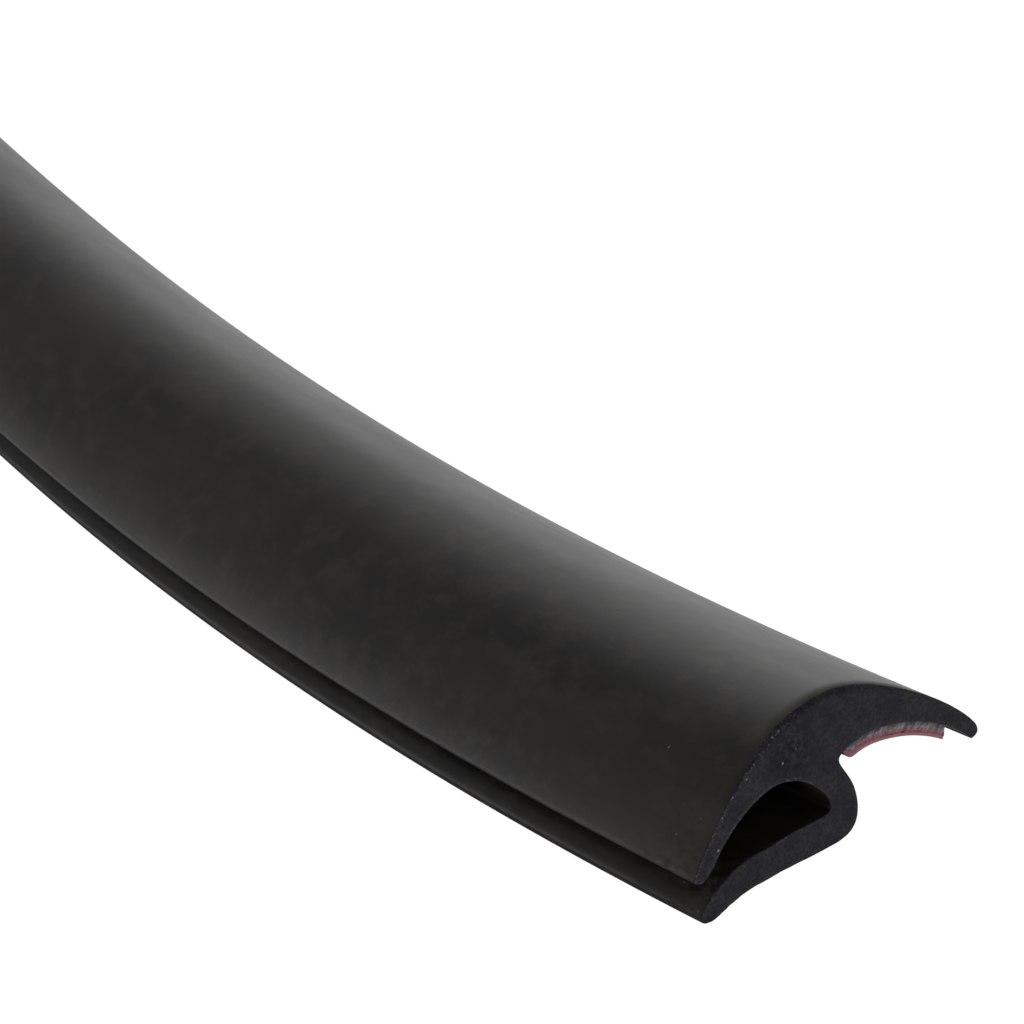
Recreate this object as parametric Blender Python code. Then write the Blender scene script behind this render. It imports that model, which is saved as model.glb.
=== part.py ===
"""Edge trim seal: one extruded rubber moulding with a strip of foam tape and
its release film under the right-hand wing. Metres, +Z up, lying on its hook.

The section is drawn in a plane where `across` runs from the left wing's tip
towards the right wing's tip, and `up` starts at the floor. It is swept along
a centre line that is straight for most of its length and eases into a gentle
bend towards the free end, as a cut length lies on a table.
"""
import math

import bpy
from mathutils import Vector
from mathutils.geometry import interpolate_bezier

# Stock
STOCK_LENGTH = 1.000
BEND_RUN = 0.232
FREE_END_RADIUS = 0.423
PATH_FROM_LEFT_TIP = 0.0102
BEND_STEPS = 24
STRAIGHT_STEPS = 8

# Arched cover, from wing tip to wing tip
PROFILE_WIDTH = 0.0280
PROFILE_HEIGHT = 0.0119
CROWN_FROM_LEFT_TIP = 0.0129
CROWN_WALL = 0.0046
LEFT_TIP_HEIGHT = 0.0041
LEFT_TIP_WALL = 0.0009
LEFT_TIP_BEVEL = 0.0006
LEFT_WING_MIDDLE = 0.0025
LEFT_WING_INNER_HEIGHT = 0.0048
RIGHT_TIP_HEIGHT = 0.0014
RIGHT_TIP_WALL = 0.0012
RIGHT_WING_MIDDLE = 0.0057
RIGHT_WING_DROP = 0.0016
RIGHT_WING_WALL = 0.00305
WING_ROOT_HEIGHT = 0.0070
WING_ROOT_FROM_NECK = 0.0027

# Hook under the cover
NECK_FROM_LEFT_TIP = 0.0142
NECK_FILLET = 0.0008
HOOK_BULGE = 0.0014
BULGE_HEIGHT = 0.0025
HOOK_WALL = 0.0026
HEEL_SETBACK = 0.0023
HOLLOW_END_RADIUS = 0.0007
LIP_SETBACK = 0.0001
LIP_TIP_REACH = 0.0009
LIP_TIP_HEIGHT = 0.0008
LIP_TOP_HEIGHT = 0.0030
LIP_SHOULDER_DROP = 0.0004
LIP_SHOULDER_REACH = 0.0030
LIP_CREASE_DROP = 0.0003
HOLLOW_MIDDLE = 0.0081
LIP_ARCH = 0.0006
LIP_ARCH_MIDDLE = 0.0059

# Foam tape and its release film, stuck under the right wing
TAPE_WIDTH = 0.0108
TAPE_FROM_NECK = 0.0009
FOAM_THICKNESS = 0.00075
FILM_THICKNESS = 0.00020
BOND_GAP = 0.00005

# Facets of the outlines: their length on the long stretches, and the fewest
# between two knots
FACET_LENGTH = 0.0013
FEWEST_FACETS = 3


def clear_scene():
    for item in list(bpy.data.objects):
        bpy.data.objects.remove(item, do_unlink=True)


def new_collection(name):
    collection = bpy.data.collections.new(name)
    bpy.context.scene.collection.children.link(collection)
    return collection


def principled(name, colour, roughness):
    material = bpy.data.materials.new(name)
    material.use_nodes = True
    shader = material.node_tree.nodes["Principled BSDF"]
    shader.inputs["Base Color"].default_value = (*colour, 1.0)
    shader.inputs["Roughness"].default_value = roughness
    shader.inputs["Metallic"].default_value = 0.0
    return material


def stretch(start, end):
    """Points of the Bezier stretch from one knot to the next, without its last.

    A knot is (across, up, heading in degrees, reach before, reach after), and
    a reach is the handle's share of the straight distance between the knots.
    """
    first = Vector(start[:2])
    last = Vector(end[:2])
    span = (last - first).length
    leaving = math.radians(start[2])
    arriving = math.radians(end[2])
    first_handle = first + start[4] * span * Vector((math.cos(leaving), math.sin(leaving)))
    last_handle = last - end[3] * span * Vector((math.cos(arriving), math.sin(arriving)))
    facets = max(FEWEST_FACETS, round(span / FACET_LENGTH))
    points = interpolate_bezier(first, first_handle, last_handle, last, facets + 1)
    return [point.to_2d() for point in points[:-1]]


def outline_through(knots, closed):
    ends = knots[1:] + knots[:1] if closed else knots[1:]
    points = []
    for start, end in zip(knots, ends):
        points += stretch(start, end)
    if not closed:
        points.append(Vector(knots[-1][:2]))
    return points


def cover_top_knots():
    """Over the arch, from the left wing's tip to the right wing's tip."""
    flank_across = PROFILE_WIDTH - RIGHT_WING_MIDDLE - RIGHT_WING_DROP / 2.0
    flank_up = WING_ROOT_HEIGHT - RIGHT_WING_DROP + RIGHT_WING_WALL
    return [
        (0.0, LEFT_TIP_HEIGHT, 56, 0.40, 0.20),
        (CROWN_FROM_LEFT_TIP, PROFILE_HEIGHT, 0, 0.38, 0.33),
        (flank_across, flank_up, -34, 0.35, 0.45),
        (PROFILE_WIDTH, RIGHT_TIP_HEIGHT + RIGHT_TIP_WALL / 2.0, -82, 0.10, 0.50),
        (PROFILE_WIDTH - RIGHT_TIP_WALL / 2.0, RIGHT_TIP_HEIGHT, 185, 0.45, 0.35),
    ]


def wing_underside_knots():
    """Under the right wing, from its tip to the neck."""
    middle_across = PROFILE_WIDTH - RIGHT_WING_MIDDLE
    middle_up = WING_ROOT_HEIGHT - RIGHT_WING_DROP
    return [
        (PROFILE_WIDTH - RIGHT_TIP_WALL, RIGHT_TIP_HEIGHT + RIGHT_TIP_WALL / 2.0, 134, 0.30, 0.40),
        (middle_across, middle_up, 151.5, 0.32, 0.34),
        (NECK_FROM_LEFT_TIP + WING_ROOT_FROM_NECK, WING_ROOT_HEIGHT, 180, 0.26, 0.44),
        (NECK_FROM_LEFT_TIP, WING_ROOT_HEIGHT - NECK_FILLET, -88, 0.20, 0.20),
    ]


def hook_knots():
    """Round the hook's back and heel and under its lip to the lip's tip."""
    bulge_across = NECK_FROM_LEFT_TIP + HOOK_BULGE
    return [
        (bulge_across, BULGE_HEIGHT, -90, 0.45, 0.58),
        (bulge_across - HEEL_SETBACK, 0.0, 180, 0.36, 0.32),
        (LIP_ARCH_MIDDLE, LIP_ARCH, 180, 0.33, 0.50),
        (LIP_SETBACK + LIP_TIP_REACH, 0.0, 180, 0.12, 0.42),
        (LIP_SETBACK, LIP_TIP_HEIGHT, 75, 0.42, 0.14),
    ]


def hollow_knots():
    """Along the lip's top, round the hollow's closed end and back under the arch."""
    hollow_end = NECK_FROM_LEFT_TIP + HOOK_BULGE - HOOK_WALL
    roof_up = PROFILE_HEIGHT - CROWN_WALL
    shoulder_up = LIP_TOP_HEIGHT - LIP_SHOULDER_DROP
    crease_up = LIP_TOP_HEIGHT - LIP_CREASE_DROP
    return [
        (LIP_SHOULDER_REACH, shoulder_up, 20, 0.40, 0.23),
        (HOLLOW_MIDDLE, LIP_TOP_HEIGHT, 0, 0.46, 0.40),
        (hollow_end - HOLLOW_END_RADIUS, crease_up, 0, 0.22, 0.55),
        (hollow_end, crease_up + HOLLOW_END_RADIUS, 91, 0.50, 0.16),
        (HOLLOW_MIDDLE, roof_up, 180, 0.42, 0.33),
        (LEFT_WING_MIDDLE, LEFT_WING_INNER_HEIGHT, 227, 0.24, 0.30),
        (LEFT_TIP_WALL, LEFT_TIP_HEIGHT - LEFT_TIP_BEVEL, 206, 0.40, 0.45),
    ]


def rubber_outline():
    knots = cover_top_knots() + wing_underside_knots() + hook_knots() + hollow_knots()
    return outline_through(knots, closed=True)


def wing_underside_from_neck():
    """The line that the tape is stuck to, from the neck out to the wing's tip."""
    line = outline_through(wing_underside_knots(), closed=False)
    line.reverse()
    return line


def part_of_line(line, begin, width):
    """The points of a line between two distances along it, both ends included."""
    end = begin + width
    points = []
    walked = 0.0
    for here, there in zip(line, line[1:]):
        step = (there - here).length
        for mark in (begin, end):
            if walked <= mark < walked + step:
                points.append(here.lerp(there, (mark - walked) / step))
        walked += step
        if begin < walked < end:
            points.append(there)
    return points


def lowered(line, depth):
    """The line moved off the wing by a depth, square to its own run."""
    points = []
    for index, point in enumerate(line):
        before = line[max(index - 1, 0)]
        after = line[min(index + 1, len(line) - 1)]
        run = (after - before).normalized()
        points.append(point + depth * Vector((run.y, -run.x)))
    return points


def layer_outline(upper_depth, lower_depth):
    """A flat layer that follows the wing's underside between two depths below it."""
    line = part_of_line(wing_underside_from_neck(), TAPE_FROM_NECK, TAPE_WIDTH)
    return lowered(line, upper_depth) + lowered(line, lower_depth)[::-1]


def centre_line():
    """The swept path, from the free end to the far end, straight part along +X.

    Its heading falls with the square of the distance that is left of the bend,
    so the bend starts gently and reaches its full curvature at the free end.
    """
    bend_step = BEND_RUN / BEND_STEPS
    here = Vector((0.0, 0.0, 0.0))
    points = [here.copy()]
    for index in range(BEND_STEPS):
        bend_left = BEND_RUN - (index + 0.5) * bend_step
        heading = bend_left ** 2 / (2.0 * FREE_END_RADIUS * BEND_RUN)
        here += bend_step * Vector((math.cos(heading), math.sin(heading), 0.0))
        points.append(here.copy())
    straight_step = (STOCK_LENGTH - BEND_RUN) / STRAIGHT_STEPS
    for index in range(STRAIGHT_STEPS):
        here += Vector((straight_step, 0.0, 0.0))
        points.append(here.copy())
    return points


def poly_curve(name, points, cyclic):
    curve = bpy.data.curves.new(name, "CURVE")
    spline = curve.splines.new("POLY")
    spline.points.add(len(points) - 1)
    for control, point in zip(spline.points, points):
        control.co = (*point.to_3d(), 1.0)
    spline.use_cyclic_u = cyclic
    return curve


def swept(name, outline, material, parent, parts, guides):
    """A closed outline carried along the centre line, with both ends capped."""
    about_path = [point - Vector((PATH_FROM_LEFT_TIP, 0.0)) for point in outline]
    section_curve = poly_curve(name + "_section", about_path, cyclic=True)
    section_curve.dimensions = "2D"
    section = bpy.data.objects.new(name + "_section", section_curve)
    section.hide_render = True
    section.display_type = "WIRE"
    guides.objects.link(section)

    path = poly_curve(name, centre_line(), cyclic=False)
    path.dimensions = "3D"
    path.twist_mode = "Z_UP"
    path.bevel_mode = "OBJECT"
    path.bevel_object = section
    path.use_fill_caps = True
    path.materials.append(material)
    piece = bpy.data.objects.new(name, path)
    piece.parent = parent
    parts.objects.link(piece)
    return piece


def centre_on_floor(parent, pieces):
    """Move the parent so that the pieces' box is centred over the origin."""
    bpy.context.view_layer.update()
    depsgraph = bpy.context.evaluated_depsgraph_get()
    points = []
    for piece in pieces:
        evaluated = piece.evaluated_get(depsgraph)
        points += [vertex.co.copy() for vertex in evaluated.to_mesh().vertices]
        evaluated.to_mesh_clear()
    low = Vector([min(point[axis] for point in points) for axis in range(3)])
    high = Vector([max(point[axis] for point in points) for axis in range(3)])
    middle = (low + high) / 2.0
    parent.location = (-middle.x, -middle.y, -low.z)


def build():
    clear_scene()
    parts = new_collection("edge_trim_seal")
    guides = new_collection("section_guides")
    base = bpy.data.objects.new("edge_trim_seal", None)
    parts.objects.link(base)

    rubber = principled("black_epdm_rubber", (0.020, 0.019, 0.018), 0.55)
    foam = principled("grey_acrylic_foam", (0.16, 0.15, 0.15), 0.90)
    film = principled("red_release_film", (0.34, 0.045, 0.060), 0.40)

    foam_bottom = BOND_GAP + FOAM_THICKNESS
    film_top = foam_bottom + BOND_GAP
    layers = [
        ("rubber_profile", rubber_outline(), rubber),
        ("foam_tape", layer_outline(BOND_GAP, foam_bottom), foam),
        ("release_film", layer_outline(film_top, film_top + FILM_THICKNESS), film),
    ]
    pieces = [swept(name, outline, material, base, parts, guides) for name, outline, material in layers]
    centre_on_floor(base, pieces)


build()
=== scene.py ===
"""Looks of the edge trim seal: black extruded rubber with a knife-cut end,
grey foam tape and red release film under one wing, on a light table.

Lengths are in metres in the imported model's frame. A section is drawn with
`across` running from the left wing's tip towards the right wing's tip and
`up` from the floor, and every long piece is that section carried along the
same path: straight for most of the stock, easing into a bend at the free end.
"""

import math

import bpy
import numpy as np
from mathutils import Matrix, Vector
from mathutils.geometry import delaunay_2d_cdt


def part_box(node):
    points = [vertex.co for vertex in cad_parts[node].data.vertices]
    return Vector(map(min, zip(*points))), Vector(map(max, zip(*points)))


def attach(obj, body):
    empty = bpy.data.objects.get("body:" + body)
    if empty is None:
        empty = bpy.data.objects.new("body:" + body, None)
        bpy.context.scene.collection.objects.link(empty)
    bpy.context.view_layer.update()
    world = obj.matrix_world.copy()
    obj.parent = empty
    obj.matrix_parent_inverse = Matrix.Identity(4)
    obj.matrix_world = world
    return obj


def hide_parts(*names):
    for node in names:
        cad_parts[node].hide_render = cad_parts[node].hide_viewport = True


MM = 0.001

# Stock, as it lies
STOCK_LENGTH = 1.000
BEND_RUN = 232.0 * MM
FREE_END_RADIUS = 423.0 * MM
PATH_FROM_LEFT_TIP = 10.2 * MM
PATH_STEPS = 8000

# Foam tape and its release film under the right wing
TAPE_WIDTH = 10.8 * MM
TAPE_FROM_NECK = 0.7 * MM
FOAM_THICKNESS = 0.75 * MM
FILM_THICKNESS = 0.20 * MM
BOND_GAP = 0.05 * MM

# Knots round the rubber section, clockwise from the left wing's tip:
# (across mm, up mm, heading in degrees, reach before, reach after).
# A reach is the handle's share of the straight distance between two knots.
COVER_TOP = [
    (0.0, 4.1, 56, 0.40, 0.20),
    (12.9, 11.9, 0, 0.38, 0.33),
    (21.5, 8.45, -34, 0.35, 0.45),
    (28.0, 2.0, -82, 0.10, 0.50),
    (27.4, 1.4, 185, 0.45, 0.35),
]
WING_UNDERSIDE = [
    (26.8, 2.0, 134, 0.30, 0.40),
    (22.3, 5.4, 151.5, 0.32, 0.34),
    (16.9, 7.0, 180, 0.26, 0.44),
    (14.4, 6.2, -88, 0.20, 0.20),
]
HOOK = [
    (15.6, 2.5, -90, 0.45, 0.58),
    (13.3, 0.0, 180, 0.36, 0.32),
    (5.9, 0.6, 180, 0.33, 0.50),
    (1.0, 0.0, 180, 0.12, 0.42),
    (0.1, 0.8, 75, 0.42, 0.14),
]
HOLLOW = [
    (3.0, 2.6, 20, 0.40, 0.23),
    (8.1, 3.0, 0, 0.46, 0.40),
    (12.3, 2.7, 0, 0.22, 0.55),
    (13.0, 3.4, 91, 0.50, 0.16),
    (8.1, 7.3, 180, 0.42, 0.33),
    (2.5, 4.8, 227, 0.24, 0.30),
    (0.9, 3.5, 206, 0.40, 0.45),
]

# Edges between faces that meet at more than this many degrees are shown sharp
SHARP_FROM = 38

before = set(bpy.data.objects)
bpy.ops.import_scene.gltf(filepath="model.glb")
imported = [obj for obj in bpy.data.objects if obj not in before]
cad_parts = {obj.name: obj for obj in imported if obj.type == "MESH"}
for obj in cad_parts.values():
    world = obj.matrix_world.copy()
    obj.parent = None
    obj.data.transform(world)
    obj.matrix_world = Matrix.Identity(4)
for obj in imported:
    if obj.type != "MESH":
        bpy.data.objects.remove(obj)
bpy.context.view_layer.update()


def linear(hex_colour):
    """An sRGB hex colour as linear RGBA: c / 12.92 below 0.04045, else ((c + 0.055) / 1.055) ^ 2.4."""
    srgb = np.array([int(hex_colour[i:i + 2], 16) for i in (1, 3, 5)]) / 255.0
    low = srgb / 12.92
    high = ((srgb + 0.055) / 1.055) ** 2.4
    return (*np.where(srgb <= 0.04045, low, high), 1.0)


def smoothstep(value, start=0.0, end=1.0):
    """3t^2 - 2t^3, where t is how far the value is from start to end, held between 0 and 1."""
    t = np.clip((value - start) / (end - start), 0.0, 1.0)
    return t * t * (3 - 2 * t)


def bezier(start, end, step):
    """The stretch between two knots, without its last point.

    It is (1-t)^3 A + 3 (1-t)^2 t B + 3 (1-t) t^2 C + t^3 D, where A and D are
    the knots and B and C the ends of their handles.
    """
    first, last = np.array(start[:2]) * MM, np.array(end[:2]) * MM
    span = np.linalg.norm(last - first)
    leaving, arriving = math.radians(start[2]), math.radians(end[2])
    first_handle = first + start[4] * span * np.array([math.cos(leaving), math.sin(leaving)])
    last_handle = last - end[3] * span * np.array([math.cos(arriving), math.sin(arriving)])
    count = max(10, round(span / step))
    t = np.arange(count)[:, None] / count
    return (
        (1 - t) ** 3 * first + 3 * (1 - t) ** 2 * t * first_handle
        + 3 * (1 - t) * t ** 2 * last_handle + t ** 3 * last
    )


def outline(knots, closed, step):
    """The stretches between the knots, one after the other, as one array of points."""
    ends = knots[1:] + knots[:1] if closed else knots[1:]
    points = np.concatenate([bezier(start, end, step) for start, end in zip(knots, ends)])
    return points if closed else np.concatenate([points, [np.array(knots[-1][:2]) * MM]])


def path_heading(from_end):
    """The path's heading: (bend left)^2 / (2 R L), and 0 where no bend is left."""
    return np.maximum(BEND_RUN - from_end, 0.0) ** 2 / (2 * FREE_END_RADIUS * BEND_RUN)


def path_frame(from_end):
    """Where the path is at distances from the free end, and its away and right-hand directions.

    Position is the running sum of (cos, sin) of the heading over fine steps,
    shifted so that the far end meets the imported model's far end.
    """
    fine = np.linspace(0.0, STOCK_LENGTH, PATH_STEPS + 1)
    heading = path_heading((fine[1:] + fine[:-1]) / 2)
    steps = np.diff(fine)[:, None] * np.stack([np.cos(heading), np.sin(heading)], axis=1)
    places = np.concatenate([[[0.0, 0.0]], np.cumsum(steps, axis=0)])
    _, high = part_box("rubber_profile")
    places += np.array([high.x, high.y - PATH_FROM_LEFT_TIP]) - places[-1]
    from_end = np.asarray(from_end, float)
    at = np.stack([np.interp(from_end, fine, places[:, axis]) for axis in range(2)], axis=-1)
    turned = path_heading(from_end)
    away = np.stack([np.cos(turned), np.sin(turned)], axis=-1)
    right = np.stack([np.sin(turned), -np.cos(turned)], axis=-1)
    return at, away, right


def carried(straight):
    """Bends points (across, up, from_end).

    In plan a point goes to path + (across - path's place) * right-hand way,
    and it keeps its height.
    """
    at, _, right = path_frame(straight[..., 2])
    plan = at + (straight[..., :1] - PATH_FROM_LEFT_TIP) * right
    return np.concatenate([plan, straight[..., 1:2]], axis=-1)


def at_distance(section, from_end):
    """Section points (across, up) with a distance from the free end: one for all, or one for each."""
    distance = np.broadcast_to(np.asarray(from_end, float), len(section))
    return np.concatenate([section, distance[:, None]], axis=1)


def stations(runs):
    """The rings' distances from the free end, evenly over each run of (first mm, last mm, count)."""
    return np.concatenate([np.linspace(*run) for run in runs]) * MM


def cell_faces(rows):
    """The quad of each cell in a grid of point numbers: forward on one row, and back on the next."""
    return np.stack([rows[:-1, :-1], rows[:-1, 1:], rows[1:, 1:], rows[1:, :-1]], axis=-1)


def wall_faces(rings):
    """Quads from each ring of point numbers to the next, closed round the section.

    They face out of a section that is drawn clockwise, because the right-hand
    way times the way along the strip is up.
    """
    return cell_faces(np.concatenate([rings, rings[:, :1]], axis=1)).reshape(-1, 4)


def smooth_noise(points, size, seed):
    """Value noise between -1 and 1 in a plane: random corners of square cells, blended by smoothstep."""
    rng = np.random.default_rng(seed)
    table = rng.uniform(-1, 1, (256, 256))
    cell = points / size
    base = np.floor(cell).astype(int)
    part = smoothstep(cell - base)
    x0, y0 = base[..., 0] % 256, base[..., 1] % 256
    x1, y1 = (x0 + 1) % 256, (y0 + 1) % 256
    near = table[x0, y0] * (1 - part[..., 0]) + table[x1, y0] * part[..., 0]
    far = table[x0, y1] * (1 - part[..., 0]) + table[x1, y1] * part[..., 0]
    return near * (1 - part[..., 1]) + far * part[..., 1]


def make_piece(name, straight, faces, materials, slot, stands_for, face_material=None, **measures):
    """One mesh object at the origin, riding on the part.

    `straight` is where each point lay as extruded, before the strip was bent:
    (across, up, distance from the free end). It is kept as an attribute for
    the materials, and so is each of the measures, one number for each point.
    `faces` are arrays of point numbers, one array for each kind of face.
    """
    mesh = bpy.data.meshes.new(name)
    mesh.from_pydata(carried(straight).tolist(), [], sum([block.tolist() for block in faces], []))
    for material in materials:
        mesh.materials.append(material)
    if face_material is not None:
        mesh.polygons.foreach_set("material_index", face_material)
    layer = mesh.attributes.new("as_extruded", "FLOAT_VECTOR", "POINT")
    layer.data.foreach_set("vector", straight.astype(np.float32).ravel())
    for measure, values in measures.items():
        layer = mesh.attributes.new(measure, "FLOAT", "POINT")
        layer.data.foreach_set("value", values.astype(np.float32))
    mesh.shade_smooth()
    mesh.set_sharp_from_angle(angle=math.radians(SHARP_FROM))
    mesh.update()
    piece = bpy.data.objects.new(name, mesh)
    bpy.context.scene.collection.objects.link(piece)
    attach(piece, "root")
    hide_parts(stands_for)
    return piece


# Rubber moulding

SECTION_STEP = 0.36 * MM

# Rings: close together in the part seen near, wide apart further on
RUBBER_RUNS = [(1.0, 129.0, 81), (131.0, 239.0, 28), (245.0, 999.0, 26)]

# Points on the cut face: a line of them inside the rim, and a jittered grid
RIM_LINE = 0.20 * MM
CUT_FILL_SPACING = 0.28 * MM
CUT_FILL_JITTER = 0.3

# The cut face: its depth behind the end, and its waves as (cell size, height)
CUT_DEPTH = 0.10 * MM
BROAD_WAVES = (3.1 * MM, 0.045 * MM)
FINE_WAVES = (0.6 * MM, 0.012 * MM)

# A step across the lip, where the knife was set a second time. It fades out up to the lip's top.
LIP_TOP = 3.2 * MM
KNIFE_STEP_DEPTH = 0.14 * MM
KNIFE_STEP_WIDTH = 0.45 * MM
KNIFE_STEP_ACROSS = 5.8 * MM
KNIFE_STEP_MIDDLE_UP = 1.5 * MM
KNIFE_STEP_LEAN = 0.25
KNIFE_STEP_FADE = 0.3 * MM

# Rounding of the cut's edge: everywhere, where it is ragged, and on the lip
EDGE_ROUND_STEPS = 4
CUT_EDGE_ROUND = 0.05 * MM
RAGGED_ROUND = 0.02 * MM
RAGGED_SIZE = 0.35 * MM
LIP_BURR_ROUND = 0.05 * MM
LIP_BURR_FADE = (7.0 * MM, 6.0 * MM)

# Rounding over the crown: where it rises and falls, and its waves as (cell size, share)
CROWN_EDGE_ROUND = 0.40 * MM
CROWN_EDGE_RISE = (3.0 * MM, 9.0 * MM)
CROWN_EDGE_FALL = (24.0 * MM, 17.0 * MM)
COARSE_DRAG = (1.1 * MM, 0.30)
FINE_DRAG = (0.5 * MM, 0.25)


def from_ring(points, ring):
    """Each point's distance from the nearest point of a ring."""
    return np.min(np.linalg.norm(points[:, None] - ring[None], axis=2), axis=1)


def inside(points, ring):
    """Which points lie inside a closed ring: a ray to the right crosses an odd number of its sides."""
    start, end = ring, np.roll(ring, -1, axis=0)
    px, py = points[:, :1], points[:, 1:]
    spans = (start[:, 1] > py) != (end[:, 1] > py)
    rise = np.where(end[:, 1] == start[:, 1], 1e-12, end[:, 1] - start[:, 1])
    crossing = start[:, 0] + (py - start[:, 1]) * (end[:, 0] - start[:, 0]) / rise
    return (spans & (px < crossing)).sum(axis=1) % 2 == 1


def ring_normals(ring):
    """Unit normals that point out of a clockwise ring, from the run between each point's neighbours."""
    run = np.roll(ring, -1, axis=0) - np.roll(ring, 1, axis=0)
    run /= np.linalg.norm(run, axis=1)[:, None]
    return np.stack([-run[:, 1], run[:, 0]], axis=1)


def filled(rim, seed):
    """Extra points inside a rim, and the triangles that fill it, counted from the rim's first point.

    One line of points follows the rim a little way in, a jittered grid fills
    the rest, and Delaunay's rule joins them. Points that come too near the
    rim or the line are left out.
    """
    rng = np.random.default_rng(seed)
    low, high = rim.min(axis=0), rim.max(axis=0)
    spans = [np.arange(a, b, CUT_FILL_SPACING) for a, b in zip(low, high)]
    grid = np.stack(np.meshgrid(*spans), axis=-1).reshape(-1, 2)
    grid += rng.uniform(-CUT_FILL_JITTER, CUT_FILL_JITTER, grid.shape) * CUT_FILL_SPACING
    grid = grid[inside(grid, rim)]
    grid = grid[from_ring(grid, rim) > RIM_LINE + 0.5 * CUT_FILL_SPACING]
    line = rim - ring_normals(rim) * RIM_LINE
    line = line[inside(line, rim)]
    line = line[from_ring(line, rim) > 0.9 * RIM_LINE]
    extra = np.concatenate([line, grid])
    place = np.arange(len(rim))
    sides = np.stack([place, np.roll(place, -1)], axis=1).tolist()
    in_mm = np.concatenate([rim, extra]) / MM
    only_enclosed, merge_within_mm = 1, 1e-6
    result = delaunay_2d_cdt(in_mm.tolist(), sides, [], only_enclosed, merge_within_mm)
    return extra, np.array(result[2])


def cut_unevenness(section):
    """How far the knife-cut face lies behind a true plane.

    Two sizes of value noise, and a leaning step across the lip: smoothstep
    over its width, only low down on the section.
    """
    across, up = section[:, 0], section[:, 1]
    broad = smooth_noise(section, BROAD_WAVES[0], seed=11) * BROAD_WAVES[1]
    fine = smooth_noise(section, FINE_WAVES[0], seed=12) * FINE_WAVES[1]
    low_down = smoothstep(up, LIP_TOP, LIP_TOP - KNIFE_STEP_FADE)
    leaning = KNIFE_STEP_ACROSS + KNIFE_STEP_LEAN * (up - KNIFE_STEP_MIDDLE_UP)
    step = smoothstep(across - leaning, 0.0, -KNIFE_STEP_WIDTH) * low_down * KNIFE_STEP_DEPTH
    return CUT_DEPTH + broad + fine + step


def edge_rounding(ring):
    """The radius of the cut's edge at each point of the section.

    It is almost sharp, with value noise that is deeper on the lip. Over the
    crown the blade dragged the skin inwards, so the cover's edge there rounds
    over and is ragged: smoothstep up from the left wing, and down before the
    right one, times noise.
    """
    across, up = ring[:, 0], ring[:, 1]
    on_lip = smoothstep(across, *LIP_BURR_FADE) * (up < LIP_TOP)
    ragged = (RAGGED_ROUND + LIP_BURR_ROUND * on_lip) * (1 + smooth_noise(ring, RAGGED_SIZE, seed=13))
    on_cover = np.arange(len(ring)) < len(outline(COVER_TOP, closed=False, step=SECTION_STEP))
    over_crown = smoothstep(across, *CROWN_EDGE_RISE) * smoothstep(across, *CROWN_EDGE_FALL)
    coarse_drag = COARSE_DRAG[1] * smooth_noise(ring, COARSE_DRAG[0], seed=14)
    fine_drag = FINE_DRAG[1] * smooth_noise(ring, FINE_DRAG[0], seed=15)
    dragged = CROWN_EDGE_ROUND * over_crown * on_cover * (1 + coarse_drag + fine_drag)
    return CUT_EDGE_ROUND + ragged + dragged


def rubber_moulding(skin, cut):
    """The section carried along the path, with an uneven and ragged knife cut at each end.

    The cut's edge is a quarter circle of radius r: inwards by r (1 - sin t),
    and back from the cut by r (1 - cos t), with t from 0 to 90 degrees.
    """
    ring = outline(COVER_TOP + WING_UNDERSIDE + HOOK + HOLLOW, closed=True, step=SECTION_STEP)
    around = len(ring)
    normals, radius = ring_normals(ring), edge_rounding(ring)
    rim = ring - normals * radius[:, None]
    depth = cut_unevenness(rim)
    extra, triangles = filled(rim, seed=5)
    extra_depth = cut_unevenness(extra)

    turns = np.linspace(0.0, math.pi / 2, EDGE_ROUND_STEPS + 1)
    inwards = [radius * (1 - math.sin(turn)) for turn in turns]
    cut_rings = [
        (ring - normals * inward[:, None], depth + radius * (1 - math.cos(turn)))
        for inward, turn in zip(inwards, turns)
    ]
    near = [at_distance(section, behind) for section, behind in cut_rings]
    body = [at_distance(ring, distance) for distance in stations(RUBBER_RUNS)]
    far = [at_distance(section, STOCK_LENGTH - behind) for section, behind in reversed(cut_rings)]
    rings = near + body + far
    fills = [at_distance(extra, extra_depth), at_distance(extra, STOCK_LENGTH - extra_depth)]
    straight = np.concatenate(rings + fills)

    numbers = np.arange(len(rings) * around).reshape(-1, around)
    fill_numbers = len(rings) * around + np.arange(2 * len(extra)).reshape(2, -1)
    walls = wall_faces(numbers)
    near_cap = np.concatenate([numbers[0], fill_numbers[0]])[triangles]
    far_cap = np.concatenate([numbers[-1], fill_numbers[1]])[triangles[:, ::-1]]
    on_cut = np.ones(len(walls) + len(near_cap) + len(far_cap), int)
    on_cut[EDGE_ROUND_STEPS * around:len(walls) - EDGE_ROUND_STEPS * around] = 0
    along_body = [np.zeros(around)] * len(body)
    on_fills = [from_ring(extra, ring)] * 2
    from_rim = np.concatenate(inwards + along_body + inwards[::-1] + on_fills)
    return make_piece(
        "rubber_moulding", straight, [walls, near_cap, far_cap], [skin, cut], "rubber",
        "rubber_profile", face_material=on_cut, from_rim=from_rim,
    )


# Foam tape and release film

TAPE_COLUMNS = 190
FOAM_ROWS = 14
FILM_ROWS = 4
FOAM_RUNS = [(0.35, 0.35, 1), (1.0, 2.0, 2), (4.0, 239.0, 48), (250.0, 999.0, 20)]
FILM_RUNS = [(0.5, 1.5, 2), (4.0, 239.0, 48), (250.0, 999.0, 20)]

# How far the foam's upper face sits inside the wing, and its lower one above the film
SEATED = 0.02 * MM
ADHESIVE_LINE = 0.004 * MM

# The tape's end beside the neck, along the tape from its inner edge
FOAM_START = 0.35 * MM
ROUNDED_RUN = 0.9 * MM
THINNEST_SHARE = 0.25
CURL_START = 0.15 * MM
CURL_END = 0.75 * MM

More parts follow.
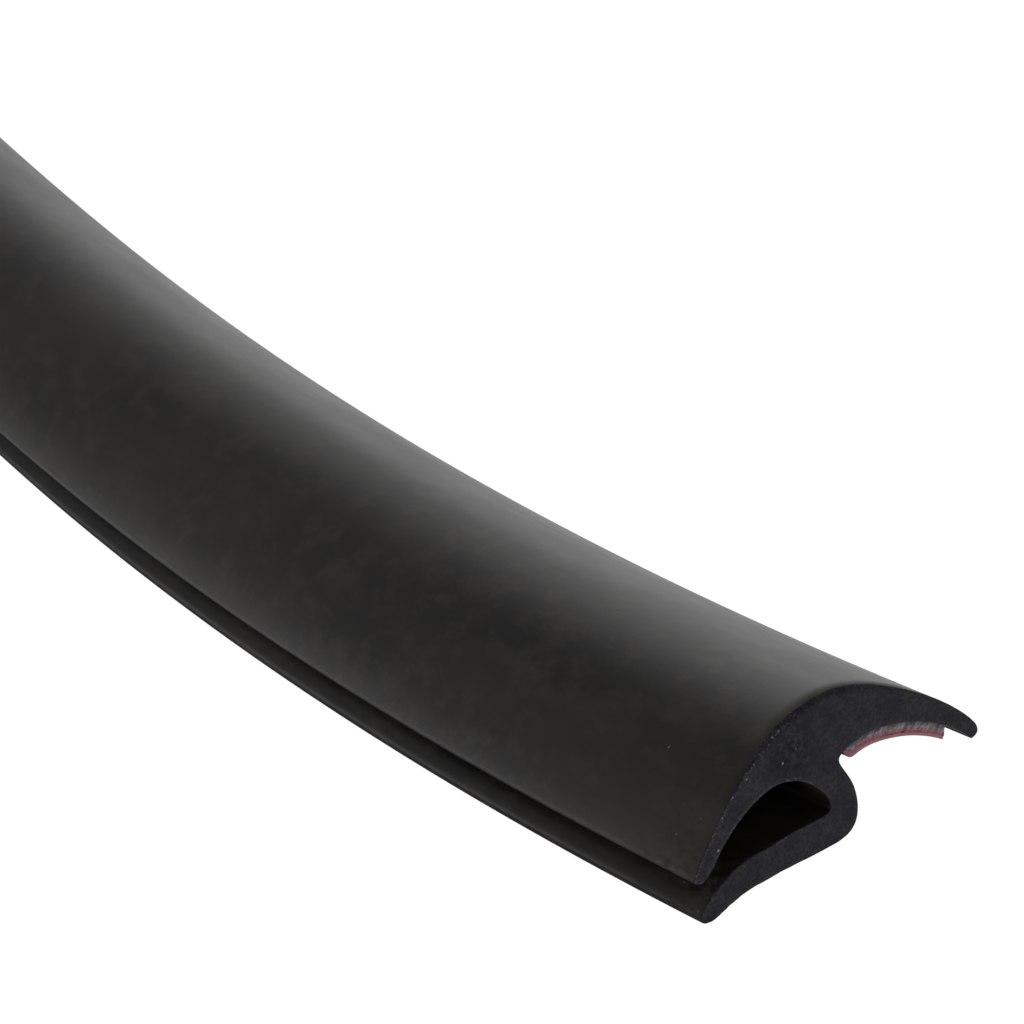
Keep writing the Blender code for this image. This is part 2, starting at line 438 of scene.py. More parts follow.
# The tape's outer edge: how much it leans, and over which last stretch
OUTER_EDGE_LEAN = 0.28
LEANING_RUN = 1.2 * MM

# Cut ends: their depths behind the rubber's end, and their waves as (cell size, height)
TAPE_CUT_DEPTH = 0.15 * MM
TORN_CELLS = [(0.42 * MM, 0.030 * MM), (0.17 * MM, 0.040 * MM), (0.08 * MM, 0.025 * MM)]
FILM_CUT_DEPTH = 0.14 * MM
FILM_WAVE_HEIGHT = 0.03 * MM
FILM_WAVE_RUN = 1.3 * MM
FILM_FINE_WAVES = (0.2 * MM, 0.01 * MM)


def tape_line(start):
    """The wing's underside where the tape sits, from `start` outwards.

    Gives the points, the way off the wing, and each point's distance along
    the tape from its inner edge.
    """
    wing = outline(WING_UNDERSIDE, closed=False, step=0.1 * MM)[::-1]
    travelled = np.concatenate([[0.0], np.cumsum(np.linalg.norm(np.diff(wing, axis=0), axis=1))])
    along = np.linspace(start, TAPE_WIDTH, TAPE_COLUMNS)
    from_neck = TAPE_FROM_NECK + along
    line = np.stack([np.interp(from_neck, travelled, wing[:, axis]) for axis in range(2)], axis=1)
    run = np.gradient(line, axis=0)
    run /= np.linalg.norm(run, axis=1)[:, None]
    return line, np.stack([run[:, 1], -run[:, 0]], axis=1), along


def tape_fullness(along):
    """The tape's share of its full thickness, which rises beside the neck as a quarter ellipse."""
    t = np.clip(along / ROUNDED_RUN, 0.0, 1.0)
    return THINNEST_SHARE + (1 - THINNEST_SHARE) * np.sqrt(1 - (1 - t) ** 2)


def film_top(along):
    """Depth below the wing of the film's upper face, which curls up to the wing beside the neck."""
    return (FOAM_THICKNESS + BOND_GAP) * tape_fullness(along) * smoothstep(along, CURL_START, CURL_END)


def film_bottom(along):
    """Depth of the film's lower face."""
    return (FOAM_THICKNESS + 2 * BOND_GAP + FILM_THICKNESS) * tape_fullness(along)


def foam_top(along):
    """Depth of the foam's upper face, a hair inside the wing."""
    return np.full(len(along), -SEATED)


def foam_bottom(along):
    """Depth of the foam's lower face, just above the film, because adhesive fills the gap between them."""
    return film_top(along) - ADHESIVE_LINE


def torn_cut(section, along):
    """How far the foam's cut end lies behind a true plane: torn cells, as three sizes of value noise."""
    noises = [
        height * smooth_noise(section, size, seed)
        for seed, (size, height) in enumerate(TORN_CELLS, start=21)
    ]
    return TAPE_CUT_DEPTH + sum(noises)


def waving_cut(section, along):
    """How far the film's cut end lies behind a true plane: a slight sine wave, and fine value noise."""
    wave = FILM_WAVE_HEIGHT * np.sin(along / FILM_WAVE_RUN)
    return FILM_CUT_DEPTH + wave + FILM_FINE_WAVES[1] * smooth_noise(section, FILM_FINE_WAVES[0], seed=24)


def layer_strip(name, start, top, bottom, rows, cut_depth, runs, material, slot, stands_for):
    """A layer carried along the path: a grid of points on each cut end, its rim carried between them.

    The grid is line + depth * way off the wing, with the depth going in even
    steps from the layer's upper face to its lower one. `top` and `bottom` give
    those from the distance along the tape, and `cut_depth` says how far a
    point of the cut end lies behind a true plane. The outer edge leans
    outwards, by smoothstep over the tape's last stretch.
    """
    line, off_wing, along = tape_line(start)
    share = np.linspace(0.0, 1.0, rows)[:, None]
    depth = top(along) + (bottom(along) - top(along)) * share
    outwards = np.stack([-off_wing[:, 1], off_wing[:, 0]], axis=1)
    leaning = OUTER_EDGE_LEAN * smoothstep(along, TAPE_WIDTH - LEANING_RUN, TAPE_WIDTH)
    direction = off_wing + leaning[:, None] * outwards
    grid = line[None] + depth[..., None] * direction[None]
    section = grid.reshape(-1, 2)
    from_inner_edge = np.broadcast_to(along, depth.shape).ravel()
    towards_film = np.broadcast_to(share, depth.shape).ravel()
    behind = cut_depth(section, from_inner_edge)

    cells = np.arange(len(section)).reshape(rows, -1)
    rim = np.concatenate([cells[0], cells[1:, -1], cells[-1, -2::-1], cells[-2:0:-1, 0]])
    near, far = at_distance(section, behind), at_distance(section, STOCK_LENGTH - behind)
    body = [at_distance(section[rim], distance) for distance in stations(runs)]
    straight = np.concatenate([near, far] + body)
    body_numbers = 2 * len(section) + np.arange(len(body) * len(rim)).reshape(len(body), -1)
    walls = wall_faces(np.concatenate([rim[None], body_numbers, rim[None] + len(section)]))
    far_cap = cell_faces(cells + len(section)).reshape(-1, 4)
    near_cap = cell_faces(cells).reshape(-1, 4)[:, ::-1]
    return make_piece(
        name, straight, [near_cap, far_cap, walls], [material], slot, stands_for,
        along_tape=np.concatenate([from_inner_edge] * 2 + [from_inner_edge[rim]] * len(body)),
        towards_film=np.concatenate([towards_film] * 2 + [towards_film[rim]] * len(body)),
    )


def foam_strip(foam):
    """The foam tape."""
    return layer_strip(
        "foam_strip", FOAM_START, foam_top, foam_bottom, FOAM_ROWS, torn_cut, FOAM_RUNS,
        foam, "foam", "foam_tape",
    )


def film_strip(film):
    """The release film on the foam's underside."""
    return layer_strip(
        "film_strip", 0.0, film_top, film_bottom, FILM_ROWS, waving_cut, FILM_RUNS,
        film, "film", "release_film",
    )


# Materials

# Grains of dust: across, up and distance from the free end, and radius, in mm
DUST_ON_SKIN = [
    (5.40, 9.26, 7.5, 0.12),
    (1.44, 5.87, 3.1, 0.10),
    (2.63, 7.06, 1.7, 0.07),
    (4.20, 8.55, 1.2, 0.07),
    (1.46, 1.90, 3.1, 0.10),
    (0.33, 1.12, 0.7, 0.10),
    (9.80, 11.42, 0.6, 0.11),
    (9.15, 11.20, 0.6, 0.08),
    (11.0, 11.72, 0.6, 0.09),
]
DUST_ON_CUT = [
    (9.25, 8.66, 0.1, 0.13),
    (2.41, 5.19, 0.1, 0.13),
    (0.12, 1.00, 0.1, 0.12),
    (9.41, 11.18, 0.25, 0.13),
    (8.80, 10.95, 0.3, 0.11),
    (8.35, 10.60, 0.25, 0.10),
    (4.42, 8.43, 0.1, 0.10),
    (3.20, 7.40, 0.1, 0.09),
    (6.69, 9.91, 0.1, 0.10),
    (5.88, 9.12, 0.1, 0.09),
    (10.6, 9.15, 0.1, 0.08),
]

# Middle of the rubbed patch on the cut face: across, up and distance from the free end
RUBBED_PATCH = (10.3 * MM, 8.8 * MM, 0.1 * MM)


def add(tree, kind, inputs, **settings):
    """Adds a node. Settings are its own properties.

    Inputs give each socket a value or another node's output.
    """
    node = tree.nodes.new(kind)
    for name, value in settings.items():
        setattr(node, name, value)
    for socket, value in inputs.items():
        if isinstance(value, bpy.types.NodeSocket):
            tree.links.new(value, node.inputs[socket])
        else:
            node.inputs[socket].default_value = value
    return node


def new_tree(name):
    """A material without nodes, and its node tree."""
    material = bpy.data.materials.new(name)
    material.use_nodes = True
    material.node_tree.nodes.clear()
    return material, material.node_tree


def repeats(across_mm, up_mm, along_mm):
    """The scale that makes one unit of a pattern as large as these sizes on the strip as extruded."""
    return (1.0 / (across_mm * MM), 1.0 / (up_mm * MM), 1.0 / (along_mm * MM))


def dust_mask(tree, place, grains):
    """1 in the middle of each grain of dust, fading to 0 at its rim, whichever grain is nearest."""
    mask = 0.0
    for across, up, from_end, radius in grains:
        middle = (across * MM, up * MM, from_end * MM)
        away = add(tree, "ShaderNodeVectorMath", {0: place, 1: middle}, operation="DISTANCE")
        grain = add(tree, "ShaderNodeMapRange", {
            "Value": away.outputs["Value"], "From Min": radius * MM, "From Max": 0.4 * radius * MM,
        })
        larger = add(tree, "ShaderNodeMath", {0: mask, 1: grain.outputs["Result"]}, operation="MAXIMUM")
        mask = larger.outputs[0]
    return mask


def extruded_epdm_skin():
    """EPDM rubber as it leaves the die: near-black and satin.

    It shows a dusty bloom in cloudy patches, faint lines along its length
    from the die, a very fine grain, a haze of talc near the cut at the wing's
    edge, a scuffed edge at the crown's cut, and a few grains of dust.
    """
    material, tree = new_tree("extruded_epdm_skin")
    place = add(tree, "ShaderNodeAttribute", {}, attribute_name="as_extruded").outputs["Vector"]
    parts = add(tree, "ShaderNodeSeparateXYZ", {0: place}).outputs

    # Bloom: clouds of wax that came to the surface, some millimetres wide and drawn out lengthways,
    # and smears where the strip was handled
    cloud_place = add(tree, "ShaderNodeMapping", {"Vector": place, "Scale": repeats(6.0, 6.0, 17.0)})
    cloud = add(tree, "ShaderNodeTexNoise", {
        "Vector": cloud_place.outputs[0], "Scale": 1.0, "Detail": 6.0, "Roughness": 0.62,
    })
    handled_place = add(tree, "ShaderNodeMapping", {"Vector": place, "Scale": repeats(2.1, 2.1, 2.8)})
    handled = add(tree, "ShaderNodeTexNoise", {
        "Vector": handled_place.outputs[0], "Scale": 1.0, "Detail": 5.0, "Roughness": 0.6,
    })
    clouds = add(tree, "ShaderNodeMapRange", {
        "Value": cloud.outputs[0], "From Min": 0.38, "From Max": 0.62,
    })
    smears = add(tree, "ShaderNodeMapRange", {
        "Value": handled.outputs[0], "From Min": 0.48, "From Max": 0.66,
    })
    bloomed = add(tree, "ShaderNodeMix", {
        0: clouds.outputs[0], 6: linear("#0c0905"), 7: linear("#221f19"),
    }, data_type="RGBA")
    smeared = add(tree, "ShaderNodeMix", {
        0: smears.outputs[0], 6: bloomed.outputs[2], 7: linear("#2a2720"),
    }, data_type="RGBA")

    # Talc haze: on the wing's edge, in the last millimetres before the cut
    near_cut = add(tree, "ShaderNodeMapRange", {
        "Value": parts[2], "From Min": 9 * MM, "From Max": 1 * MM,
    })
    near_edge = add(tree, "ShaderNodeMapRange", {
        "Value": parts[0], "From Min": 6 * MM, "From Max": 1 * MM,
    })
    in_corner = add(tree, "ShaderNodeMath", {
        0: near_cut.outputs[0], 1: near_edge.outputs[0],
    }, operation="MULTIPLY")
    powder_place = add(tree, "ShaderNodeMapping", {"Vector": place, "Scale": repeats(0.5, 0.5, 0.7)})
    powder = add(tree, "ShaderNodeTexNoise", {
        "Vector": powder_place.outputs[0], "Scale": 1.0, "Detail": 4.0,
    })
    patchy = add(tree, "ShaderNodeMapRange", {
        "Value": powder.outputs[0], "From Min": 0.40, "From Max": 0.72, "To Max": 0.55,
    })
    haze = add(tree, "ShaderNodeMath", {
        0: in_corner.outputs[0], 1: patchy.outputs[0],
    }, operation="MULTIPLY")
    hazed = add(tree, "ShaderNodeMix", {
        0: haze.outputs[0], 6: smeared.outputs[2], 7: linear("#3b3a38"),
    }, data_type="RGBA")
    dust = dust_mask(tree, place, DUST_ON_SKIN)
    dusted = add(tree, "ShaderNodeMix", {
        0: dust, 6: hazed.outputs[2], 7: linear("#66635f"),
    }, data_type="RGBA")

    # Relief: die lines half a millimetre apart, and the rubber's grain, drawn coarser than its real
    # few hundredths so that it shows
    line_place = add(tree, "ShaderNodeMapping", {"Vector": place, "Scale": repeats(0.55, 0.55, 60.0)})
    lines = add(tree, "ShaderNodeTexNoise", {
        "Vector": line_place.outputs[0], "Scale": 1.0, "Detail": 2.0,
    })
    grain_place = add(tree, "ShaderNodeMapping", {"Vector": place, "Scale": repeats(0.16, 0.16, 0.16)})
    grain = add(tree, "ShaderNodeTexNoise", {
        "Vector": grain_place.outputs[0], "Scale": 1.0, "Detail": 2.0,
    })
    drawn = add(tree, "ShaderNodeBump", {
        "Height": lines.outputs[0], "Distance": 0.006 * MM, "Strength": 1.0,
    })
    grained = add(tree, "ShaderNodeBump", {
        "Height": grain.outputs[0], "Distance": 0.006 * MM, "Strength": 1.0, "Normal": drawn.outputs[0],
    })
    raised = add(tree, "ShaderNodeBump", {
        "Height": dust, "Distance": 0.05 * MM, "Strength": 1.0, "Normal": grained.outputs[0],
    })

    # Gloss: less where the bloom is thick, dull under powder, and scuffed by the blade along the
    # crown's cut edge
    gloss = add(tree, "ShaderNodeMapRange", {
        "Value": cloud.outputs[0], "From Min": 0.3, "From Max": 0.7, "To Min": 0.39, "To Max": 0.47,
    })
    dull = add(tree, "ShaderNodeMath", {
        0: gloss.outputs[0], 1: haze.outputs[0],
    }, operation="ADD", use_clamp=True)
    scuffed = add(tree, "ShaderNodeMapRange", {
        "Value": parts[2], "From Min": 1.6 * MM, "From Max": 0.4 * MM, "To Max": 0.35,
    })
    on_crown = add(tree, "ShaderNodeMapRange", {
        "Value": parts[1], "From Min": 7.5 * MM, "From Max": 9.0 * MM,
    })
    rough = add(tree, "ShaderNodeMath", {
        0: scuffed.outputs[0], 1: on_crown.outputs[0], 2: dull.outputs[0],
    }, operation="MULTIPLY_ADD", use_clamp=True)
    shader = add(tree, "ShaderNodeBsdfPrincipled", {
        "Base Color": dusted.outputs[2], "Roughness": rough.outputs[0],
        "Normal": raised.outputs[0], "IOR": 1.52,
    })
    add(tree, "ShaderNodeOutputMaterial", {"Surface": shader.outputs[0]})
    return material


def knife_cut_epdm():
    """The same rubber where a knife went through it: matt and faintly blue, with torn grains.

    Pale crumbs follow the rim, most of all on the left wing, and a darker
    rubbed patch lies under the crown.
    """
    material, tree = new_tree("knife_cut_epdm")
    place = add(tree, "ShaderNodeAttribute", {}, attribute_name="as_extruded").outputs["Vector"]
    from_rim = add(tree, "ShaderNodeAttribute", {}, attribute_name="from_rim").outputs["Fac"]
    parts = add(tree, "ShaderNodeSeparateXYZ", {0: place}).outputs

    # Torn rubber: grains a quarter of a millimetre wide, and cloudy patches where the blade pressed
    # more or less
    grain_place = add(tree, "ShaderNodeMapping", {"Vector": place, "Scale": repeats(0.25, 0.25, 0.25)})
    grain = add(tree, "ShaderNodeTexNoise", {
        "Vector": grain_place.outputs[0], "Scale": 1.0, "Detail": 3.0, "Roughness": 0.6,
    })
    patch_place = add(tree, "ShaderNodeMapping", {"Vector": place, "Scale": repeats(1.9, 1.9, 1.9)})
    patch = add(tree, "ShaderNodeTexNoise", {
        "Vector": patch_place.outputs[0], "Scale": 1.0, "Detail": 4.0, "Roughness": 0.6,
    })
    patches = add(tree, "ShaderNodeMapRange", {
        "Value": patch.outputs[0], "From Min": 0.40, "From Max": 0.60,
    })
    grains = add(tree, "ShaderNodeMapRange", {
        "Value": grain.outputs[0], "From Min": 0.35, "From Max": 0.65, "To Min": 0.50, "To Max": 1.55,
    })
    cloudy = add(tree, "ShaderNodeMix", {
        0: patches.outputs[0], 6: linear("#181620"), 7: linear("#232227"),
    }, data_type="RGBA")
    grainy = add(tree, "ShaderNodeMix", {
        0: 1.0, 6: cloudy.outputs[2], 7: grains.outputs[0],
    }, data_type="RGBA", blend_type="MULTIPLY")

    # Rubbed patch: under the crown, in dark grains and blotches that thin out over its radius
    rubbed_middle = add(tree, "ShaderNodeVectorMath", {0: place, 1: RUBBED_PATCH}, operation="DISTANCE")
    rubbed_area = add(tree, "ShaderNodeMapRange", {
        "Value": rubbed_middle.outputs["Value"], "From Min": 3.0 * MM, "From Max": 1.5 * MM,
    })
    mottle_place = add(tree, "ShaderNodeMapping", {"Vector": place, "Scale": repeats(0.42, 0.42, 0.42)})
    mottle = add(tree, "ShaderNodeTexNoise", {
        "Vector": mottle_place.outputs[0], "Scale": 1.0, "Detail": 3.0, "Roughness": 0.7,
    })
    mottled = add(tree, "ShaderNodeMapRange", {
        "Value": mottle.outputs[0], "From Min": 0.44, "From Max": 0.58,
    })
    rubbed = add(tree, "ShaderNodeMath", {
        0: rubbed_area.outputs[0], 1: mottled.outputs[0],
    }, operation="MULTIPLY")
    darkened = add(tree, "ShaderNodeMix", {
        0: rubbed.outputs[0], 6: grainy.outputs[2], 7: linear("#050507"),
    }, data_type="RGBA")

    # Pale crumbs: in a band a third of a millimetre wide along the rim, most on the left wing,
    # fewer on the lip
    at_rim = add(tree, "ShaderNodeMapRange", {
        "Value": from_rim, "From Min": 0.42 * MM, "From Max": 0.12 * MM,
    })
    crumb_place = add(tree, "ShaderNodeMapping", {"Vector": place, "Scale": repeats(0.16, 0.16, 0.16)})
    crumb = add(tree, "ShaderNodeTexNoise", {
        "Vector": crumb_place.outputs[0], "Scale": 1.0, "Detail": 2.0,
    })
    crumbs = add(tree, "ShaderNodeMapRange", {
        "Value": crumb.outputs[0], "From Min": 0.52, "From Max": 0.70, "To Min": 0.06,
    })
    left = add(tree, "ShaderNodeMapRange", {
        "Value": parts[0], "From Min": 13 * MM, "From Max": 9 * MM, "To Min": 0.12, "To Max": 0.75,
    })
    above_lip = add(tree, "ShaderNodeMapRange", {
        "Value": parts[1], "From Min": 2.8 * MM, "From Max": 4.2 * MM, "To Min": 0.4,
    })
    by_place = add(tree, "ShaderNodeMath", {
        0: left.outputs[0], 1: above_lip.outputs[0],
    }, operation="MULTIPLY")
    on_rim = add(tree, "ShaderNodeMath", {
        0: at_rim.outputs[0], 1: by_place.outputs[0],
    }, operation="MULTIPLY")
    pale = add(tree, "ShaderNodeMath", {
        0: on_rim.outputs[0], 1: crumbs.outputs[0],
    }, operation="MULTIPLY")
    rimmed = add(tree, "ShaderNodeMix", {
        0: pale.outputs[0], 6: darkened.outputs[2], 7: linear("#5a585e"),
    }, data_type="RGBA")
    dust = dust_mask(tree, place, DUST_ON_CUT)
    dusted = add(tree, "ShaderNodeMix", {
        0: dust, 6: rimmed.outputs[2], 7: linear("#87858c"),
    }, data_type="RGBA")

    torn = add(tree, "ShaderNodeBump", {
        "Height": grain.outputs[0], "Distance": 0.03 * MM, "Strength": 1.0,
    })
    raised = add(tree, "ShaderNodeBump", {
        "Height": dust, "Distance": 0.06 * MM, "Strength": 1.0, "Normal": torn.outputs[0],
    })
    shader = add(tree, "ShaderNodeBsdfPrincipled", {
        "Base Color": dusted.outputs[2], "Roughness": 0.75, "Normal": raised.outputs[0],
        "IOR": 1.5, "Specular IOR Level": 0.2,
    })
    add(tree, "ShaderNodeOutputMaterial", {"Surface": shader.outputs[0]})
    return material


def closed_cell_foam():
    """Acrylic foam tape: grey, dry and matt, slit by a blade that drew its cells into slanting streaks.

    It is darker towards the wing, with painted shade for the wing's shadow,
    and pinker towards the red film.
    """
    material, tree = new_tree("closed_cell_acrylic_foam")
    place = add(tree, "ShaderNodeAttribute", {}, attribute_name="as_extruded").outputs["Vector"]
    along = add(tree, "ShaderNodeAttribute", {}, attribute_name="along_tape").outputs["Fac"]
    towards_film = add(tree, "ShaderNodeAttribute", {}, attribute_name="towards_film").outputs["Fac"]
    parts = add(tree, "ShaderNodeSeparateXYZ", {0: place}).outputs

    # Streaks: a third of a millimetre wide, as tall as the foam, leaning by their own width
    width = add(tree, "ShaderNodeMath", {0: along, 1: 1.0 / (0.34 * MM)}, operation="MULTIPLY")
    leaning = add(tree, "ShaderNodeMath", {0: towards_film, 1: width.outputs[0]}, operation="ADD")
    lengthways = add(tree, "ShaderNodeMath", {0: parts[2], 1: 1.0 / (0.5 * MM)}, operation="MULTIPLY")
    streak_place = add(tree, "ShaderNodeCombineXYZ", {
        0: leaning.outputs[0], 1: towards_film, 2: lengthways.outputs[0],
    })
    streak = add(tree, "ShaderNodeTexNoise", {
        "Vector": streak_place.outputs[0], "Scale": 1.0, "Detail": 3.0, "Roughness": 0.55,
    })
    streaks = add(tree, "ShaderNodeMapRange", {
        "Value": streak.outputs[0], "From Min": 0.34, "From Max": 0.68,
    })

    # Cells: an eighth of a millimetre wide, each one lighter or darker
    cell_place = add(tree, "ShaderNodeMapping", {"Vector": place, "Scale": repeats(0.13, 0.13, 0.13)})
    cell = add(tree, "ShaderNodeTexNoise", {
        "Vector": cell_place.outputs[0], "Scale": 1.0, "Detail": 2.0,
    })
    cells = add(tree, "ShaderNodeMapRange", {
        "Value": cell.outputs[0], "From Min": 0.35, "From Max": 0.65, "To Min": 0.75, "To Max": 1.2,
    })
    grey = add(tree, "ShaderNodeMix", {
        0: streaks.outputs[0], 6: linear("#504c50"), 7: linear("#918c90"),
    }, data_type="RGBA")
    celled = add(tree, "ShaderNodeMix", {
        0: 1.0, 6: grey.outputs[2], 7: cells.outputs[0],
    }, data_type="RGBA", blend_type="MULTIPLY")

    # Film's red shining through the lower half, and painted shade for the wing's shadow in the upper half
    reddened = add(tree, "ShaderNodeMapRange", {
        "Value": towards_film, "From Min": 0.50, "From Max": 1.0, "To Max": 0.85,
    })
    pink = add(tree, "ShaderNodeMix", {
        0: reddened.outputs[0], 6: celled.outputs[2], 7: linear("#87404c"),
    }, data_type="RGBA")
    # Painted shade: the upper half darkens towards the wing, standing in for the wing's shadow
    painted_wing_shade = add(tree, "ShaderNodeMapRange", {
        "Value": towards_film, "From Min": 0.45, "From Max": 0.05, "To Max": 0.65,
    })
    shaded = add(tree, "ShaderNodeMix", {
        0: painted_wing_shade.outputs[0], 6: pink.outputs[2], 7: linear("#19181b"),
    }, data_type="RGBA")
    torn = add(tree, "ShaderNodeBump", {
        "Height": cell.outputs[0], "Distance": 0.05 * MM, "Strength": 1.0,
    })
    shader = add(tree, "ShaderNodeBsdfPrincipled", {
        "Base Color": shaded.outputs[2], "Roughness": 0.9, "Normal": torn.outputs[0],
        "Specular IOR Level": 0.3,
    })
    add(tree, "ShaderNodeOutputMaterial", {"Surface": shader.outputs[0]})
    return material


def red_polyester_film():
    """Siliconed polyester release film: smooth and satin, a muted red that varies with its ripples.

    It is darker where it curls up over the foam's inner edge: bruised there,
    and with painted shade for the neck's shadow.
    """
    material, tree = new_tree("red_polyester_film")
    place = add(tree, "ShaderNodeAttribute", {}, attribute_name="as_extruded").outputs["Vector"]
    along = add(tree, "ShaderNodeAttribute", {}, attribute_name="along_tape").outputs["Fac"]

    # Ripples a few millimetres wide and long, and flecks of a third of a millimetre
    ripple_place = add(tree, "ShaderNodeMapping", {"Vector": place, "Scale": repeats(3.0, 3.0, 9.0)})
    ripple = add(tree, "ShaderNodeTexNoise", {
        "Vector": ripple_place.outputs[0], "Scale": 1.0, "Detail": 1.0,
    })
    fleck_place = add(tree, "ShaderNodeMapping", {"Vector": place, "Scale": repeats(0.3, 0.3, 0.3)})
    fleck = add(tree, "ShaderNodeTexNoise", {
        "Vector": fleck_place.outputs[0], "Scale": 1.0, "Detail": 2.0,
    })
    flecks = add(tree, "ShaderNodeMapRange", {
        "Value": fleck.outputs[0], "From Min": 0.5, "From Max": 0.75, "To Max": 0.35,
    })
    red = add(tree, "ShaderNodeMix", {
        0: ripple.outputs[0], 6: linear("#7d2f3c"), 7: linear("#953f4b"),
    }, data_type="RGBA")
    flecked = add(tree, "ShaderNodeMix", {
        0: flecks.outputs[0], 6: red.outputs[2], 7: linear("#a8626d"),
    }, data_type="RGBA")
    # Painted shade for the neck's shadow, with some bruising: darker where the film curls up over the
    # foam's inner edge
    painted_curl_shade = add(tree, "ShaderNodeMapRange", {
        "Value": along, "From Min": 0.65 * MM, "From Max": 0.35 * MM, "To Max": 0.85,
    })
    darkened = add(tree, "ShaderNodeMix", {
        0: painted_curl_shade.outputs[0], 6: flecked.outputs[2], 7: linear("#3f1820"),
    }, data_type="RGBA")
    rippled = add(tree, "ShaderNodeBump", {
        "Height": ripple.outputs[0], "Distance": 0.03 * MM, "Strength": 1.0,
    })
    shader = add(tree, "ShaderNodeBsdfPrincipled", {
        "Base Color": darkened.outputs[2], "Roughness": 0.35, "Normal": rippled.outputs[0], "IOR": 1.57,
    })
    add(tree, "ShaderNodeOutputMaterial", {"Surface": shader.outputs[0]})
    return material


def lit_opal_acrylic():
    """The top of a light table: opal acrylic sheet, white and evenly lit from below."""
    material, tree = new_tree("opal_acrylic_lit_from_below")
    shader = add(tree, "ShaderNodeBsdfPrincipled", {
        "Base Color": linear("#404040"), "Roughness": 0.9,
        "Emission Color": linear("#ffffff"), "Emission Strength": 1.0,
    })
    add(tree, "ShaderNodeOutputMaterial", {"Surface": shader.outputs[0]})
    return material


# Studio

ROOM_BRIGHTNESS = 0.15
LIGHT_DISTANCE = 2.0
TABLE_HALF = 4.0
TABLE_ROWS = 101

# The table that the strip shades, across: under it, and beside the left wing
SHADED_RUN = (-8.0 * MM, 28.0 * MM)

# Soft boxes: name, heading and elevation of the middle, half width and half height, all in degrees
# as seen from the cut end, and brightness, where 1 is the white of the picture
SOFT_BOXES = [
    ("reflector_left", 58.0, 9.0, 22.0, 8.0, 1.1),
    ("soft_box_far_left", 34.0, 34.0, 13.0, 8.0, 0.25),
    ("soft_box_behind_1", -4.0, 54.0, 9.0, 7.0, 1.5),
    ("soft_box_behind_2", -19.0, 47.0, 8.0, 6.0, 2.1),
    ("soft_box_behind_3", -29.0, 38.0, 8.0, 6.0, 3.1),
    ("soft_box_behind_4", -35.0, 28.0, 8.0, 5.0, 2.2),
    ("soft_box_behind_5", -39.0, 16.0, 8.0, 6.0, 2.9),
    ("soft_box_in_front", 203.0, 34.0, 42.0, 24.0, 0.52),
]


def put_camera():
    """The photograph's view, from a fit to the strip's outline.

    It is given against the cut end: how far the view's heading is turned from
    the strip's own, how steeply it looks down and its roll, all in radians,
    its distance, and the pixel at which the anchor point of the cut face shows.
    """
    turned_from_strip = 0.61643506
    looking_down = 0.46347709
    roll = 0.18219662
    distance = 229.8 * MM
    focal_pixels = 3300.0
    image_pixels = 1024.0
    anchor_pixel = np.array([800.0, 800.0])
    anchor_across, anchor_up = 10.207 * MM, 5.193 * MM

    _, away, right = path_frame(0.0)
    away, right = np.append(away, 0.0), np.append(right, 0.0)
    ahead = math.cos(turned_from_strip) * away + math.sin(turned_from_strip) * right
    beside = math.cos(turned_from_strip) * right - math.sin(turned_from_strip) * away
    above = np.array([0.0, 0.0, 1.0])
    level_y = math.cos(looking_down) * above + math.sin(looking_down) * ahead
    back = math.sin(looking_down) * above - math.cos(looking_down) * ahead
    camera_x = math.cos(roll) * beside - math.sin(roll) * level_y
    camera_y = math.sin(roll) * beside + math.cos(roll) * level_y
    anchor = carried(np.array([anchor_across, anchor_up, 0.0]))
    sideways = (anchor_pixel - image_pixels / 2) / focal_pixels * distance
    place = anchor - sideways[0] * camera_x + sideways[1] * camera_y + distance * back

    data = bpy.data.cameras.new("camera")
    data.sensor_width = 36.0
    data.lens = focal_pixels / image_pixels * data.sensor_width
    data.clip_start = 0.01
    data.clip_end = 20.0
    camera = bpy.data.objects.new("camera", data)
    turn = Matrix((camera_x, camera_y, back)).transposed()
    camera.matrix_world = Matrix.Translation(place) @ turn.to_4x4()
    bpy.context.scene.collection.objects.link(camera)
    bpy.context.scene.camera = camera


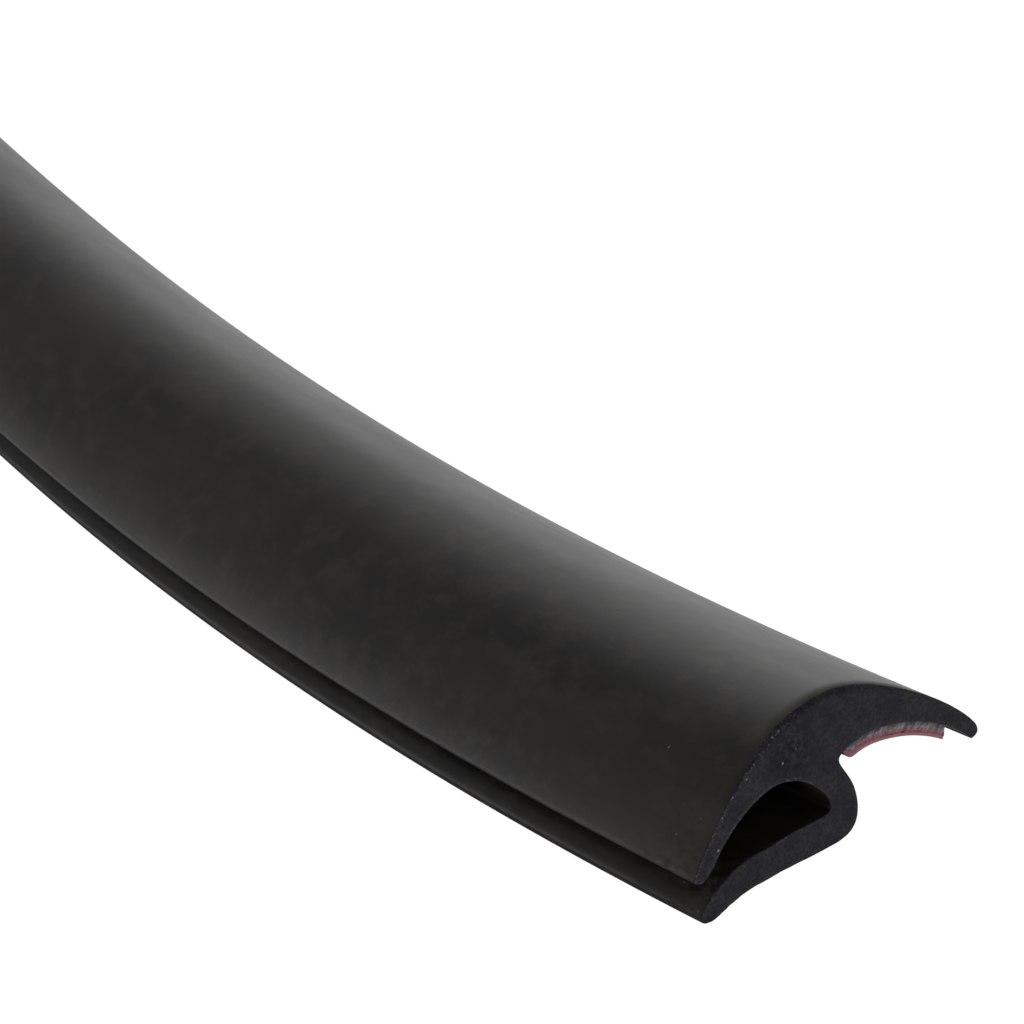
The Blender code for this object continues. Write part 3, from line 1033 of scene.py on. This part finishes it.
def soft_box(name, heading, elevation, half_width, half_height, brightness):
    """A soft box facing the cut end.

    Its width is 2 * distance * tan(half width), and its power is
    brightness * pi * area.
    """
    turn, rise = math.radians(heading), math.radians(elevation)
    at, _, _ = path_frame(0.0)
    target = Vector((at[0], at[1], 0.0))
    towards = Vector((math.cos(rise) * math.cos(turn), math.cos(rise) * math.sin(turn), math.sin(rise)))
    data = bpy.data.lights.new(name, "AREA")
    data.shape = "RECTANGLE"
    data.size = 2 * LIGHT_DISTANCE * math.tan(math.radians(half_width))
    data.size_y = 2 * LIGHT_DISTANCE * math.tan(math.radians(half_height))
    data.energy = brightness * math.pi * data.size * data.size_y
    light = bpy.data.objects.new(name, data)
    facing = (-towards).to_track_quat("-Z", "Y").to_matrix().to_4x4()
    light.matrix_world = Matrix.Translation(target + towards * LIGHT_DISTANCE) @ facing
    light.visible_camera = False
    bpy.context.scene.collection.objects.link(light)


def light_table():
    """A lit table top in two pieces that meet: the one that the strip shades, and the rest.

    A grid four points wide: the table's two long edges, and between them the
    shaded run's two sides, with a row beyond each end of the strip. Both
    pieces light the strip, but only the rest is mirrored in it.
    """
    distances = np.linspace(STOCK_LENGTH, 0.0, TABLE_ROWS)
    floor = np.zeros(TABLE_ROWS)
    left, right = [carried(np.stack([floor + across, floor, distances], axis=1)) for across in SHADED_RUN]
    rows = np.stack([left, left, right, right], axis=1)
    rows = np.pad(rows, ((1, 1), (0, 0), (0, 0)), mode="edge")
    rows[:, 0, 1], rows[:, 3, 1] = TABLE_HALF, -TABLE_HALF
    rows[0, :, 0], rows[-1, :, 0] = TABLE_HALF, -TABLE_HALF

    quads = cell_faces(np.arange(rows.size // 3).reshape(rows.shape[:2]))[..., ::-1]
    shaded = np.zeros(quads.shape[:2], bool)
    shaded[1:-1, 1] = True
    material = lit_opal_acrylic()
    for name, chosen, mirrored in (("light_table", ~shaded, True), ("light_table_shaded", shaded, False)):
        used, faces = np.unique(quads[chosen], return_inverse=True)
        mesh = bpy.data.meshes.new(name)
        mesh.from_pydata(rows.reshape(-1, 3)[used].tolist(), [], faces.reshape(-1, 4).tolist())
        mesh.materials.append(material)
        top = bpy.data.objects.new(name, mesh)
        top.visible_glossy = mirrored
        bpy.context.scene.collection.objects.link(top)


def studio():
    """The light table, and soft boxes round it in a dim grey room."""
    light_table()
    world = bpy.data.worlds.new("studio")
    world.use_nodes = True
    room = world.node_tree.nodes["Background"].inputs
    room["Color"].default_value = linear("#ffffff")
    room["Strength"].default_value = ROOM_BRIGHTNESS
    bpy.context.scene.world = world
    for box in SOFT_BOXES:
        soft_box(*box)
    bpy.context.scene.view_settings.view_transform = "Standard"


put_camera()
rubber_moulding(extruded_epdm_skin(), knife_cut_epdm())
foam_strip(closed_cell_foam())
film_strip(red_polyester_film())
studio()
